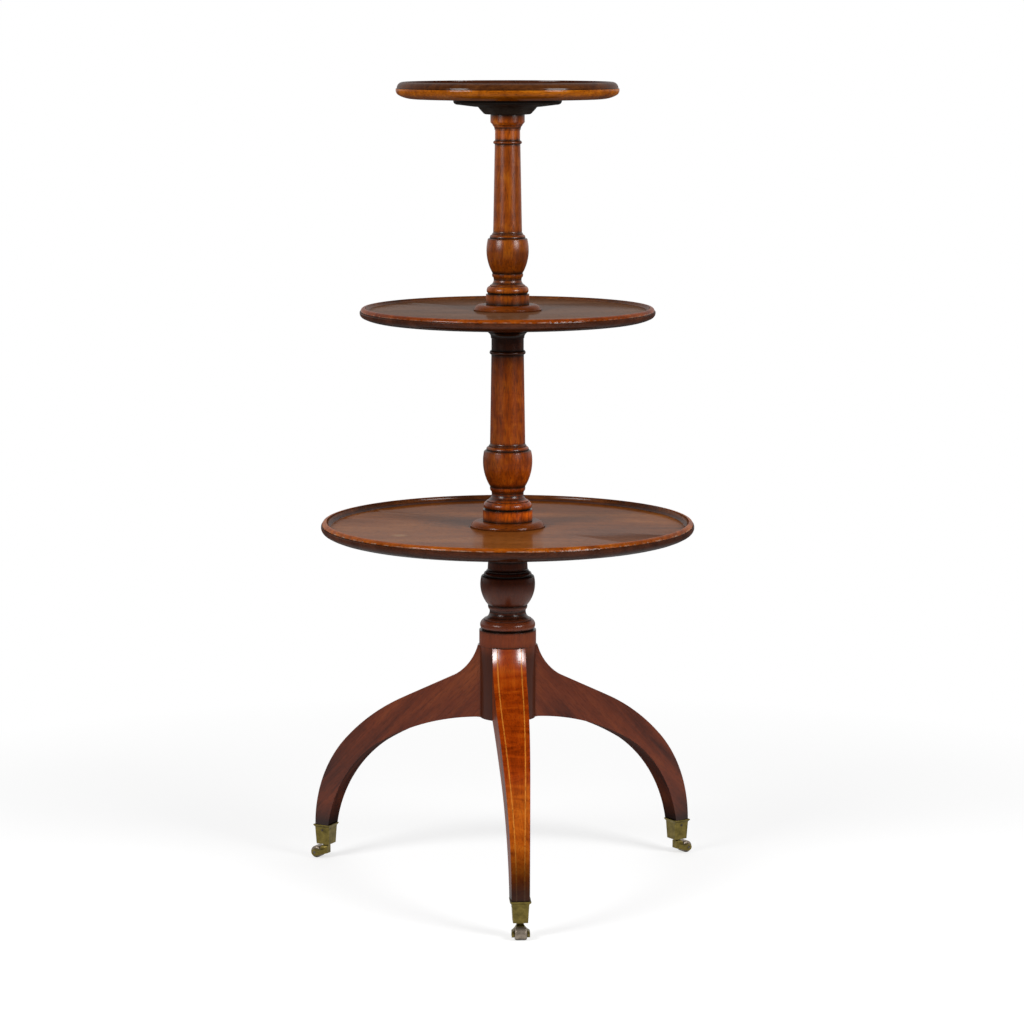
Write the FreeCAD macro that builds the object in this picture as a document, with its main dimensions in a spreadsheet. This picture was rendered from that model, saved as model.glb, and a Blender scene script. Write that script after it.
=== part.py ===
# Three-tier dumbwaiter table in mahogany: a turned stem, three dished trays that turn on it,
# and three downswept legs on brass cap castors.
# Millimetres, Z up, origin on the floor on the axis of the stem, front leg towards -Y.
import FreeCAD
import Part
import Sketcher
import math
import os

# Turned mouldings of the three stem sections, from the drum at the foot up to the capital
STEM = {
    "lower": {
        "drum_radius": 42, "drum_height": 22.7,
        "torus_radius": 40.6, "torus_height": 12.5,
        "scotia_radius": 27.3, "scotia_height": 14.8,
        "ring_radius": 29.1, "ring_height": 5.5,
        "urn_foot_radius": 28.6, "urn_top_radius": 39.3, "urn_height": 41.5,
        "shoulder_height": 14,
        "shaft_foot_radius": 29.5, "shaft_top_radius": 28.8, "shaft_height": 10.5,
        "astragal_height": 4.5,
        "neck_radius": 28.5, "neck_height": 3,
        "cove_height": 12,
        "capital_radius": 38, "capital_height": 18.3,
        "journal_radius": 20, "tenon_radius": 13, "tenon_height": 45,
    },
    "middle": {
        "drum_radius": 36.4, "drum_height": 16.6,
        "torus_radius": 35.8, "torus_height": 9.2,
        "scotia_radius": 24.4, "scotia_height": 14.5,
        "ring_radius": 26, "ring_height": 5.5,
        "urn_foot_radius": 25.4, "urn_top_radius": 34.9, "urn_height": 51.5,
        "shoulder_height": 14,
        "shaft_foot_radius": 25.8, "shaft_top_radius": 23.8, "shaft_height": 129.3,
        "astragal_height": 6.2,
        "neck_radius": 23.6, "neck_height": 18,
        "cove_height": 13,
        "capital_radius": 32.5, "capital_height": 12.6,
        "journal_radius": 17, "tenon_radius": 11, "tenon_height": 40,
    },
    "upper": {
        "drum_radius": 31.5, "drum_height": 14.5,
        "torus_radius": 31.1, "torus_height": 9,
        "scotia_radius": 21.2, "scotia_height": 11.9,
        "ring_radius": 22.6, "ring_height": 4.8,
        "urn_foot_radius": 21.5, "urn_top_radius": 29.1, "urn_height": 48.9,
        "shoulder_height": 13,
        "shaft_foot_radius": 21, "shaft_top_radius": 18.6, "shaft_height": 125.3,
        "astragal_height": 5.2,
        "neck_radius": 18.2, "neck_height": 15.5,
        "cove_height": 11,
        "capital_radius": 24.9, "capital_height": 11.1,
        "journal_radius": 12,
    },
}

# Sizes that the pieces share, and sizes of the other pieces
SIZES = {
    "glue_gap": 0.1,
    "running_gap": 0.06,
    "stem_clearance": 0.4,
    "quirk_depth": 1.3,
    "quirk_width": 2.5,
    "torus_fillet": 1.5,
    "base_height": 250.5,
    "block_height": 108.5,
    "block_radius": 41,
    "bottom_tray_radius": 274.5,
    "bottom_tray_board": 13,
    "bottom_tray_edge_height": 16.1,
    "bottom_tray_rim_height": 21.8,
    "middle_tray_radius": 216,
    "middle_tray_board": 14.9,
    "middle_tray_edge_height": 13.3,
    "middle_tray_rim_height": 19,
    "top_tray_radius": 162,
    "top_tray_board": 17,
    "top_tray_edge_height": 15,
    "top_tray_rim_height": 24.4,
    "tray_nose_inset": 5,
    "tray_under_reach": 26,
    "tray_lip_width": 2,
    "tray_cove_width": 7.5,
    "bottom_collar_radius": 55,
    "middle_collar_radius": 49.5,
    "collar_height": 8.5,
    "collar_seat": 1.5,
    "collar_fillet": 2,
    "collar_round": 8.5,
    "bearer_radius": 78.5,
    "bearer_neck_radius": 43,
    "bearer_foot_radius": 31,
    "bearer_height": 22,
    "bearer_flange": 8,
    "bearer_neck_height": 9.5,
    "spigot_height": 18,
    "leg_half_width": 24.5,
    "leg_foot_half_width": 12.7,
    "leg_shoulder_reach": 44,
    "leg_foot_reach": 323.7,
    "leg_seat_reach": 46,
    "leg_foot_depth": 23.5,
    "dovetail_neck": 7,
    "dovetail_tail": 10,
    "dovetail_depth": 13,
    "string_inset": 7,
    "string_width": 1.7,
    "string_depth": 1.2,
    "cap_wall": 1.4,
    "cap_floor": 2.5,
    "cap_height": 31.1,
    "cap_lip_height": 1.6,
    "cap_lip_cove": 2.6,
    "cap_lip_reach": 2.2,
    "cap_taper": 1.5,
    "cap_set_in": 0.6,
    "tenon_end_clear": 3.6,
    "cap_pin_radius": 1.7,
    "cap_pin_drop": 9,
    "cap_pin_depth": 7,
    "cap_pin_proud": 0.3,
    "roller_radius": 9.1,
    "roller_half_width": 8.6,
    "roller_round": 2.4,
    "axle_radius": 2,
    "castor_trail": 13.8,
    "horn_half_width": 12.75,
    "horn_slot_gap": 0.4,
    "horn_roller_gap": 0.6,
    "horn_cheek_radius": 5.4,
    "horn_neck_radius": 4.85,
    "horn_neck_height": 3.4,
    "horn_shoulder_rise": 3.6,
    "horn_heel_drop": 1.1,
    "horn_spread_reach": 6,
    "castor_clearance": 4.9,
    "swivel_radius": 2.2,
    "swivel_head_radius": 4.6,
    "swivel_head_height": 2.2,
    "swivel_depth": 11.1,
    "plate_thickness": 2.5,
    "plate_hub_radius": 18,
    "plate_arm_half_width": 8,
    "plate_reach": 45,
    "plate_screw_reach": 38.5,
    "screw_radius": 2,
    "screw_head_radius": 3.6,
    "screw_head_height": 1.8,
    "screw_length": 22,
    "bearer_screw_reach": 56,
    "bearer_screw_bite": 8,
    "bearer_screw_seat": 5,
}

# How far each curve rises over its chord, as a share of the chord
BEAD_RISE = 0.42
TORUS_RISE = 0.2
SCOTIA_RISE = 0.22
RING_RISE = 0.08
URN_RISE = {"lower": 0.12, "middle": 0.095, "upper": 0.095}
CORNER_RISE = 0.2
FLARE_RISE = 0.14
LEG_UNDER_RISE = 0.057
LEG_CALF_RISE = 0.1023

# Points on a leg's sweep, as shares of its reach from shoulder to foot and of its height
LEG_COVE = (0.1509, 0.8294)
LEG_KNEE = (0.439, 0.7014)
LEG_SHIN = (0.7969, 0.4629)
LEG_CALF = (0.615, 0.4455)

# Where the curve of a tray's nose, a ring and a capital ends, as shares of its width and height
NOSE_SHARE = 0.355
RING_FOOT = (0.4, 0.75)
CAPITAL_COVE = (0.5, 0.6)
CAPITAL_QUIRK = (0.38, 0.62)

LEG_NAMES = ("front", "right", "left")
LEG_COUNT = len(LEG_NAMES)
FRONT_ANGLE = -90
LEG_ANGLES = {name: FRONT_ANGLE + index * 360 / LEG_COUNT for index, name in enumerate(LEG_NAMES)}
LEG_SWEEP = 100
BEARER_SCREW_COUNT = 4

doc = FreeCAD.newDocument("Dumbwaiter")
sheet = doc.addObject("Spreadsheet::Sheet", "Sizes")


class Size:
    """A length that knows both its value and the expression on the sheet that gives it."""

    def __init__(self, value, text):
        self.value = value
        self.text = text

    def join(self, sign, other, value):
        return Size(value, f"({self.text} {sign} {other.text})")

    def __add__(self, other):
        other = as_size(other)
        return self.join("+", other, self.value + other.value)

    def __sub__(self, other):
        other = as_size(other)
        return self.join("-", other, self.value - other.value)

    def __mul__(self, other):
        other = as_size(other)
        return self.join("*", other, self.value * other.value)

    def __neg__(self):
        return self * -1

    def __truediv__(self, other):
        other = as_size(other)
        return self.join("/", other, self.value / other.value)


def as_size(number):
    return number if isinstance(number, Size) else Size(number, f"({number})")


def root(size):
    return Size(math.sqrt(size.value), f"sqrt({size.text})")


def fill_sheet():
    """Writes every size to the sheet and gives back one Size for each name."""
    table = dict(SIZES)
    for section, turned in STEM.items():
        for name, number in turned.items():
            table[f"{section}_{name}"] = number
    sizes = {}
    for row, (name, number) in enumerate(table.items(), start=1):
        sheet.set(f"A{row}", name)
        sheet.set(f"B{row}", str(number))
        sheet.setAlias(f"B{row}", name)
        sizes[name] = Size(number, f"Sizes.{name}")
    doc.recompute()
    return sizes


S = fill_sheet()


class Outline:
    """A closed line in a sketch, drawn from corner to corner; each corner is held by two sizes."""

    def __init__(self, sketch, across, up):
        self.sketch = sketch
        self.corners = [(as_size(across), as_size(up))]
        self.edges = []

    def add(self, kind, rise, across, up):
        self.edges.append((kind, rise))
        self.corners.append((as_size(across), as_size(up)))
        return self

    def line(self, across, up):
        return self.add("line", 0, across, up)

    def bend(self, rise, across, up):
        """An arc that rises to the left of its chord by a share of it (to the right if negative)."""
        return self.add("bend", rise, across, up)

    def flow(self, across, up):
        """An arc that carries on smoothly from the edge before it."""
        return self.add("flow", 0, across, up)

    def lead(self, across, up):
        """An arc that runs smoothly into the edge after it."""
        return self.add("lead", 0, across, up)

    def close(self, kind="line", rise=0):
        self.edges.append((kind, rise))
        self.draw()

    def chord(self, index):
        here = self.corners[index]
        there = self.corners[(index + 1) % len(self.corners)]
        return there[0] - here[0], there[1] - here[1]

    def rises(self):
        """The rise of every edge, with the smooth arcs worked out from their neighbours."""
        count = len(self.edges)
        angles = []
        for index in range(count):
            across, up = self.chord(index)
            angles.append(math.atan2(up.value, across.value))
        rises = [rise for kind, rise in self.edges]

        def turned(angle):
            return math.atan2(math.sin(angle), math.cos(angle))

        for index, (kind, rise) in enumerate(self.edges):
            if kind == "flow":
                heading = angles[index - 1] - 2 * math.atan(2 * rises[index - 1])
                rises[index] = math.tan(turned(heading - angles[index]) / 2) / 2
        for index, (kind, rise) in reversed(list(enumerate(self.edges))):
            if kind == "lead":
                after = (index + 1) % count
                heading = angles[after] + 2 * math.atan(2 * rises[after])
                rises[index] = math.tan(turned(angles[index] - heading) / 2) / 2
        return rises

    def draw(self):
        count = len(self.edges)
        rises = self.rises()
        first = self.sketch.GeometryCount
        ends = []
        for index in range(count):
            ends.append(self.draw_edge(index, rises[index]))
        constraints = []
        expressions = []

        def hold(constraint, size=None):
            constraints.append(constraint)
            expressions.append(size)

        for index in range(count):
            kind, rise = self.edges[index]
            before = (index - 1) % count
            edge, start = first + index, ends[index][0]
            smooth = kind == "flow" or self.edges[before][0] == "lead"
            meeting = "Tangent" if smooth else "Coincident"
            hold(Sketcher.Constraint(meeting, first + before, ends[before][1], edge, start))
            across, up = self.corners[index]
            hold(Sketcher.Constraint("DistanceX", edge, start, across.value), across)
            hold(Sketcher.Constraint("DistanceY", edge, start, up.value), up)
            if kind == "bend":
                wide, high = self.chord(index)
                share = 1 / (8 * abs(rise)) + abs(rise) / 2
                radius = root(wide * wide + high * high) * share
                hold(Sketcher.Constraint("Radius", edge, radius.value), radius)
        number = self.sketch.ConstraintCount
        self.sketch.addConstraint(constraints)
        for size in expressions:
            if size is not None and "Sizes." in size.text:
                self.sketch.setExpression(f"Constraints[{number}]", size.text)
            number += 1

    def draw_edge(self, index, rise):
        """Adds one line or arc and gives back which of its ends comes first and which last."""
        across, up = self.corners[index]
        wide, high = self.chord(index)
        here = FreeCAD.Vector(across.value, up.value, 0)
        step = FreeCAD.Vector(wide.value, high.value, 0)
        if self.edges[index][0] == "line":
            self.sketch.addGeometry(Part.LineSegment(here, here + step))
            return 1, 2
        top = here + step * 0.5 + FreeCAD.Vector(-step.y, step.x, 0) * rise
        self.sketch.addGeometry(Part.Arc(here, top, here + step))
        return (2, 1) if rise > 0 else (1, 2)


def rectangle(sketch, left, right, low, high):
    Outline(sketch, left, low).line(right, low).line(right, high).line(left, high).close()


def circle(sketch, across, up, radius):
    across, up, radius = as_size(across), as_size(up), as_size(radius)
    centre = FreeCAD.Vector(across.value, up.value, 0)
    ring = sketch.addGeometry(Part.Circle(centre, FreeCAD.Vector(0, 0, 1), radius.value))
    for constraint, size in (
        (Sketcher.Constraint("DistanceX", ring, 3, across.value), across),
        (Sketcher.Constraint("DistanceY", ring, 3, up.value), up),
        (Sketcher.Constraint("Radius", ring, radius.value), radius),
    ):
        number = sketch.addConstraint(constraint)
        if "Sizes." in size.text:
            sketch.setExpression(f"Constraints[{number}]", size.text)


def new_body(name, turn=0, height=None):
    """A body named as its piece, turned about the stem's axis and lifted off the floor."""
    body = doc.addObject("PartDesign::Body", name)
    body.Label = name
    body.Placement = FreeCAD.Placement(
        FreeCAD.Vector(0, 0, 0), FreeCAD.Rotation(FreeCAD.Vector(0, 0, 1), turn)
    )
    if height is not None:
        body.setExpression("Placement.Base.z", height.text)
    return body


def origin_part(body, role):
    return next(part for part in body.Origin.OriginFeatures if part.Role == role)


def new_sketch(body, plane, across=None, lift=None):
    """A sketch on one of the body's own planes, moved along the plane and off it by two sizes."""
    sketch = body.newObject("Sketcher::SketchObject", body.Name + "Sketch")
    sketch.AttachmentSupport = (origin_part(body, plane), [""])
    sketch.MapMode = "FlatFace"
    if across is not None:
        sketch.setExpression("AttachmentOffset.Base.x", across.text)
    if lift is not None:
        sketch.setExpression("AttachmentOffset.Base.z", lift.text)
    doc.recompute()
    return sketch


def add_feature(body, kind, profile):
    feature = body.newObject("PartDesign::" + kind, body.Name + kind)
    feature.Profile = profile
    return feature


def revolve(body, sketch, sweep=360):
    """Turns a sketch about its own upright axis."""
    feature = add_feature(body, "Revolution", sketch)
    feature.ReferenceAxis = (sketch, ["V_Axis"])
    feature.Angle = sweep
    feature.Midplane = sweep < 360
    doc.recompute()


def pad(body, sketch, length, symmetric=False):
    feature = add_feature(body, "Pad", sketch)
    feature.SideType = "Symmetric" if symmetric else "One side"
    feature.setExpression("Length", length.text)
    doc.recompute()


def pocket(body, sketch, length=None, symmetric=False, upward=False):
    """Cuts a sketch into the body, right through it both ways when no length is given."""
    feature = add_feature(body, "Pocket", sketch)
    if length is None:
        feature.SideType = "Symmetric"
        feature.Type = "ThroughAll"
    else:
        feature.SideType = "Symmetric" if symmetric else "One side"
        feature.setExpression("Length", length.text)
        feature.Reversed = upward
    doc.recompute()
    return feature


def loft(body, kind, sketches):
    """A flat-sided taper through a row of sketches."""
    feature = add_feature(body, kind, sketches[0])
    feature.Sections = sketches[1:]
    feature.Ruled = True
    doc.recompute()


def pattern(body, features, count):
    """Repeats features round the upright axis of the body."""
    feature = body.newObject("PartDesign::PolarPattern", body.Name + "Pattern")
    feature.Originals = features
    feature.Axis = (origin_part(body, "Z_Axis"), [""])
    feature.Angle = 360
    feature.Occurrences = count
    body.Tip = feature
    doc.recompute()


# Heights of the stacked pieces above the floor
JOURNAL_HEIGHTS = {
    section: S[f"{tier}_tray_board"] + S["collar_height"] + S["stem_clearance"]
    for section, tier in (("lower", "bottom"), ("middle", "middle"))
}


def section_height(section):
    """Height of a stem section from the foot of its drum to the top of its capital."""
    total = S["quirk_width"] + S["torus_fillet"]
    for name in STEM[section]:
        if name.endswith("_height") and name != "tenon_height":
            total = total + S[f"{section}_{name}"]
    return total


BOTTOM_TRAY_UNDER = S["base_height"] + S["block_height"] + section_height("lower")
MIDDLE_SECTION_FOOT = BOTTOM_TRAY_UNDER + JOURNAL_HEIGHTS["lower"]
MIDDLE_TRAY_UNDER = MIDDLE_SECTION_FOOT + section_height("middle")
UPPER_SECTION_FOOT = MIDDLE_TRAY_UNDER + JOURNAL_HEIGHTS["middle"]
BEARER_FOOT = UPPER_SECTION_FOOT + section_height("upper")
TOP_TRAY_UNDER = BEARER_FOOT + S["bearer_height"]


# The end face of a leg lies on a flat of the block as wide as the leg
LEG_FLAT = root(S["block_radius"] * S["block_radius"] - S["leg_half_width"] * S["leg_half_width"])
DOVETAIL_END = LEG_FLAT - S["dovetail_depth"]
LEG_TOP = S["base_height"] + S["block_height"]
LEG_PAST_FOOT = S["leg_foot_reach"] * 1.02
FOOT_CENTRE = S["leg_foot_reach"] - S["leg_foot_depth"] / 2

# Heights of a foot, from the roller on the floor up to the end of the wood
AXLE_HEIGHT = S["roller_radius"]
CAP_BOTTOM = S["roller_radius"] * 2 + S["castor_clearance"]
FOOT_HEIGHT = CAP_BOTTOM + S["cap_height"]


def on_leg(shares):
    """The reach and height of a point on a leg's sweep."""
    across, up = shares
    reach = S["leg_shoulder_reach"] + (S["leg_foot_reach"] - S["leg_shoulder_reach"]) * across
    return reach, FOOT_HEIGHT + (LEG_TOP - FOOT_HEIGHT) * up


def turn_mouldings(outline, section, foot):
    """Draws a stem section's outside from the foot of its drum to the top of its capital."""
    size = {name: S[f"{section}_{name}"] for name in STEM[section]}
    z = foot
    outline.line(size["drum_radius"], z)
    z = z + size["drum_height"]
    outline.line(size["drum_radius"], z)

    # Quirk, torus and its fillet
    quirk = size["torus_radius"] - S["quirk_depth"]
    outline.line(quirk - S["quirk_depth"], z + S["quirk_width"] * 0.4)
    z = z + S["quirk_width"]
    outline.line(quirk, z)
    torus_top = size["torus_radius"] - S["quirk_depth"] * 3
    z = z + size["torus_height"]
    outline.bend(-TORUS_RISE, torus_top, z)
    fillet = torus_top - S["torus_fillet"]
    outline.line(fillet, z)
    z = z + S["torus_fillet"]
    outline.line(fillet, z)

    # Scotia, and a ring that leans out to its upper edge
    z = z + size["scotia_height"]
    outline.bend(SCOTIA_RISE, size["scotia_radius"], z)
    ring = size["ring_radius"]
    step = ring - size["scotia_radius"]
    outline.line(size["scotia_radius"] + step * RING_FOOT[0], z)
    outline.bend(-RING_RISE, ring, z + size["ring_height"] * RING_FOOT[1])
    z = z + size["ring_height"]
    outline.line(ring, z)

    # Urn with its rounded shoulder, ovolo, fillet and flare up to the shaft
    outline.line(size["urn_foot_radius"], z)
    z = z + size["urn_height"]
    outline.bend(-URN_RISE[section], size["urn_top_radius"], z)
    step = size["urn_top_radius"] - size["shaft_foot_radius"]
    rise = size["shoulder_height"]
    shaft = size["shaft_foot_radius"]
    outline.bend(-CORNER_RISE, shaft + step * 0.68, z + rise * 0.2)
    outline.line(shaft + step * 0.58, z + rise * 0.2)
    outline.bend(-CORNER_RISE, shaft + step * 0.27, z + rise * 0.6)
    outline.line(shaft + step * 0.18, z + rise * 0.6)
    outline.line(shaft + step * 0.18, z + rise * 0.72)
    z = z + rise
    outline.bend(FLARE_RISE, shaft, z)

    # Tapered shaft, astragal and neck
    z = z + size["shaft_height"]
    outline.line(size["shaft_top_radius"], z)
    z = z + size["astragal_height"]
    outline.bend(-BEAD_RISE, size["shaft_top_radius"], z)
    outline.line(size["neck_radius"], z)
    z = z + size["neck_height"]
    outline.line(size["neck_radius"], z)

    # Capital over a fillet, a cove, a quirk and a slope
    fillet = S["torus_fillet"] * 0.6
    neck = size["neck_radius"] + fillet
    spread = size["capital_radius"] - neck
    cove = size["cove_height"]
    outline.line(neck, z)
    outline.line(neck, z + fillet)
    outline.bend(FLARE_RISE, neck + spread * CAPITAL_COVE[0], z + cove * CAPITAL_COVE[1])
    outline.line(neck + spread * CAPITAL_QUIRK[0], z + cove * CAPITAL_QUIRK[1])
    z = z + cove
    outline.line(size["capital_radius"], z)
    z = z + size["capital_height"]
    outline.line(size["capital_radius"], z)
    return z


def add_journal(outline, section, z):
    """Draws the journal that a tray turns on and the tenon for the section above."""
    outline.line(S[f"{section}_journal_radius"], z)
    z = z + JOURNAL_HEIGHTS[section]
    outline.line(S[f"{section}_journal_radius"], z).line(S[f"{section}_tenon_radius"], z)
    z = z + S[f"{section}_tenon_height"]
    outline.line(S[f"{section}_tenon_radius"], z).line(0, z)


def make_lower_column():
    body = new_body("lower_column", LEG_ANGLES["front"], S["base_height"])
    sketch = new_sketch(body, "XZ_Plane")
    outline = Outline(sketch, 0, 0)
    outline.line(S["block_radius"], 0).line(S["block_radius"], S["block_height"])
    top = turn_mouldings(outline, "lower", S["block_height"])
    add_journal(outline, "lower", top)
    outline.close()
    revolve(body, sketch)

    # Flat with a dovetail slot for each leg
    sketch = new_sketch(body, "XY_Plane")
    outer = S["block_radius"] * 2
    side = S["leg_half_width"] * 2
    outline = Outline(sketch, LEG_FLAT, side)
    outline.line(outer, side).line(outer, -side).line(LEG_FLAT, -side)
    outline.line(LEG_FLAT, -S["dovetail_neck"]).line(DOVETAIL_END, -S["dovetail_tail"])
    outline.line(DOVETAIL_END, S["dovetail_tail"]).line(LEG_FLAT, S["dovetail_neck"])
    outline.close()
    slot = pocket(body, sketch, S["block_height"], upward=True)
    pattern(body, [slot], LEG_COUNT)


def start_on_tenon(sketch, section_below):
    """Starts a section's outline with the socket that takes the tenon of the section below."""
    depth = S[f"{section_below}_tenon_height"] + S["glue_gap"]
    radius = S[f"{section_below}_tenon_radius"] + S["glue_gap"]
    return Outline(sketch, 0, depth).line(radius, depth).line(radius, 0)


def make_middle_column():
    body = new_body("middle_column", height=MIDDLE_SECTION_FOOT)
    sketch = new_sketch(body, "XZ_Plane")
    outline = start_on_tenon(sketch, "lower")
    top = turn_mouldings(outline, "middle", as_size(0))
    add_journal(outline, "middle", top)
    outline.close()
    revolve(body, sketch)


def make_upper_column():
    body = new_body("upper_column", height=UPPER_SECTION_FOOT)
    sketch = new_sketch(body, "XZ_Plane")
    outline = start_on_tenon(sketch, "middle")
    top = turn_mouldings(outline, "upper", as_size(0))
    spigot = S["upper_journal_radius"]
    end = top + S["spigot_height"]
    outline.line(spigot, top).line(spigot, end).line(0, end).close()
    revolve(body, sketch)


def make_tray(name, under, bore=None, seat=None):
    """A dished tray with a moulded rim, bored for the stem and sunk for a collar round it."""
    body = new_body(name, height=under)
    sketch = new_sketch(body, "XZ_Plane")
    board, rim = S[f"{name}_board"], S[f"{name}_rim_height"]
    edge_height = S[f"{name}_edge_height"]
    radius = S[f"{name}_radius"]
    edge = radius - S["quirk_depth"] * 0.6
    lip = edge - (rim - edge_height)
    inner_lip = lip - S["tray_lip_width"]
    inside = as_size(0) if bore is None else bore
    outline = Outline(sketch, inside, 0).line(radius - S["tray_under_reach"], 0)
    outline.flow(radius - S["tray_nose_inset"], edge_height * NOSE_SHARE)
    outline.flow(edge, edge_height)
    outline.line(edge - S["quirk_depth"], edge_height)
    outline.bend(-CORNER_RISE, lip, rim).line(inner_lip, rim)
    outline.bend(CORNER_RISE, inner_lip - S["tray_cove_width"], board)
    if bore is None:
        outline.line(inside, board).close()
    else:
        floor = board - S["collar_seat"]
        outline.line(seat, board).line(seat, floor).line(inside, floor).close()
    revolve(body, sketch)
    return body


def make_collar(name, tray_under, board, bore):
    """The turned ring let into a tray, under the drum of the stem section above."""
    body = new_body(name, height=tray_under + board)
    sketch = new_sketch(body, "XZ_Plane")
    radius = S[f"{name}_radius"]
    fillet = S["collar_fillet"]
    foot = -S["collar_seat"]
    outline = Outline(sketch, bore, foot).line(radius, foot).line(radius, fillet)
    outline.line(radius - fillet * 0.7, fillet)
    outline.lead(radius - fillet * 0.7 - S["collar_round"], S["collar_height"])
    outline.line(bore, S["collar_height"]).close()
    revolve(body, sketch)


def make_bearer():
    """The dark turned block that carries the top tray on the spigot of the stem."""
    body = new_body("bearer_block", height=BEARER_FOOT)
    sketch = new_sketch(body, "XZ_Plane")
    bore = S["upper_journal_radius"] + S["running_gap"]
    foot, neck, rim = S["bearer_foot_radius"], S["bearer_neck_radius"], S["bearer_radius"]
    swell = neck - foot
    high = S["bearer_height"]
    flange = high - S["bearer_flange"]
    outline = Outline(sketch, bore, 0).line(foot, 0)
    outline.flow(foot + swell * 0.42, S["bearer_neck_height"] * 0.3)
    outline.line(neck - swell * 0.2, S["bearer_neck_height"] * 0.8)
    outline.bend(CORNER_RISE, neck + swell * 0.5, S["bearer_neck_height"] + S["torus_fillet"])
    outline.line(rim - S["bearer_flange"] * 0.7, flange)
    outline.bend(-CORNER_RISE, rim, flange + S["bearer_flange"] * 0.6)
    outline.line(rim, high).line(bore, high).close()
    revolve(body, sketch)

    # Sunk holes for the screws that come up into the tray
    sketch = new_sketch(body, "XY_Plane")
    circle(sketch, S["bearer_screw_reach"], 0, S["screw_head_radius"] + S["glue_gap"])
    sunk = pocket(body, sketch, high - S["bearer_screw_seat"], upward=True)
    sketch = new_sketch(body, "XY_Plane")
    circle(sketch, S["bearer_screw_reach"], 0, S["screw_radius"] + S["glue_gap"])
    through = pocket(body, sketch, high, upward=True)
    pattern(body, [sunk, through], BEARER_SCREW_COUNT)


def make_top_tray():
    body = make_tray("top_tray", TOP_TRAY_UNDER)
    sketch = new_sketch(body, "XY_Plane")
    circle(sketch, S["bearer_screw_reach"], 0, S["screw_radius"] + S["glue_gap"])
    hole = pocket(body, sketch, S["bearer_screw_bite"] + S["glue_gap"], upward=True)
    pattern(body, [hole], BEARER_SCREW_COUNT)


def make_screws(name, reach, seat, length, count, turn=0):
    """A ring of round-headed screws, driven upwards, with their heads against a seat."""
    body = new_body(name, turn, seat)
    sketch = new_sketch(body, "XZ_Plane", across=reach)
    shank, head = S["screw_radius"], S["screw_head_radius"]
    low = -S["screw_head_height"]
    outline = Outline(sketch, 0, low).line(head * 0.6, low)
    outline.bend(-CORNER_RISE, head, low * 0.4).line(head, 0).line(shank, 0)
    outline.line(shank, length - shank).line(0, length).close()
    revolve(body, sketch)
    pattern(body, [body.Tip], count)


def draw_leg_top(outline, inset, back=False):
    """Draws the sweep of a leg's upper face between shoulder and foot, sunk in by an inset."""
    points = []
    for shares in (LEG_COVE, LEG_KNEE, LEG_SHIN):
        reach, height = on_leg(shares)
        points.append((reach - inset, height - inset))
    cove, knee, shin = points
    if back:
        outline.lead(*shin).lead(*knee).line(*cove)
        outline.flow(S["leg_shoulder_reach"] - inset, LEG_TOP - inset)
    else:
        outline.lead(*cove).line(*knee).flow(*shin)
        outline.flow(S["leg_foot_reach"] - inset, FOOT_HEIGHT)


def draw_leg_plan(sketch, side_in, side_out):
    """Draws the strip of a leg, seen from above, between two lines at set insets from its edges."""
    far, root_end = S["leg_half_width"], S["leg_shoulder_reach"]
    foot, near = S["leg_foot_reach"], S["leg_foot_half_width"]
    outline = Outline(sketch, LEG_FLAT, side_in(far)).line(root_end, side_in(far))
    outline.flow(foot, side_in(near)).line(LEG_PAST_FOOT, side_in(near))
    outline.line(LEG_PAST_FOOT, side_out(near)).line(foot, side_out(near))
    outline.lead(root_end, side_out(far)).line(LEG_FLAT, side_out(far)).close()


def trim_to_plan(body, strips):
    """Cuts away all of a swept piece that is not over one of the strips seen from above."""
    sketch = new_sketch(body, "XY_Plane")
    reach = S["leg_foot_reach"] * 1.1
    rectangle(sketch, 0, reach, -reach, reach)
    for side_in, side_out in strips:
        draw_leg_plan(sketch, side_in, side_out)
    pocket(body, sketch)


def make_stringing(name, turn):
    """Two light lines let into a leg's upper face, at an even distance from its edges."""
    body = new_body(f"{name}_leg_stringing", turn)
    sketch = new_sketch(body, "XZ_Plane")
    outline = Outline(sketch, S["leg_shoulder_reach"], LEG_TOP)
    draw_leg_top(outline, as_size(0))
    outline.line(S["leg_foot_reach"] - S["string_depth"], FOOT_HEIGHT)
    draw_leg_top(outline, S["string_depth"], back=True)
    outline.close()
    revolve(body, sketch, LEG_SWEEP)
    outer = S["string_inset"] - S["string_width"] / 2
    inner = S["string_inset"] + S["string_width"] / 2
    trim_to_plan(body, [
        (lambda half: half - outer, lambda half: half - inner),
        (lambda half: inner - half, lambda half: outer - half),
    ])
    return body


def foot_rectangle(body, height, radial, tangential):
    """A sketch of a rectangle round the centre of a foot at some height."""
    sketch = new_sketch(body, "XY_Plane", lift=height)
    rectangle(sketch, FOOT_CENTRE - radial, FOOT_CENTRE + radial, -tangential, tangential)
    return sketch


# Half sizes of the cap's outside at its top and bottom, and of the hollow in it
CAP_TOP_RADIAL = S["leg_foot_depth"] / 2 + S["cap_set_in"]
CAP_TOP_TANGENTIAL = S["leg_foot_half_width"] - S["cap_set_in"]
CAP_NECK_HEIGHT = FOOT_HEIGHT - S["cap_lip_height"] - S["cap_lip_cove"]
CAP_FLOOR_TOP = CAP_BOTTOM + S["cap_floor"]
CAP_PIN_HEIGHT = FOOT_HEIGHT - S["cap_pin_drop"]


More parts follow.
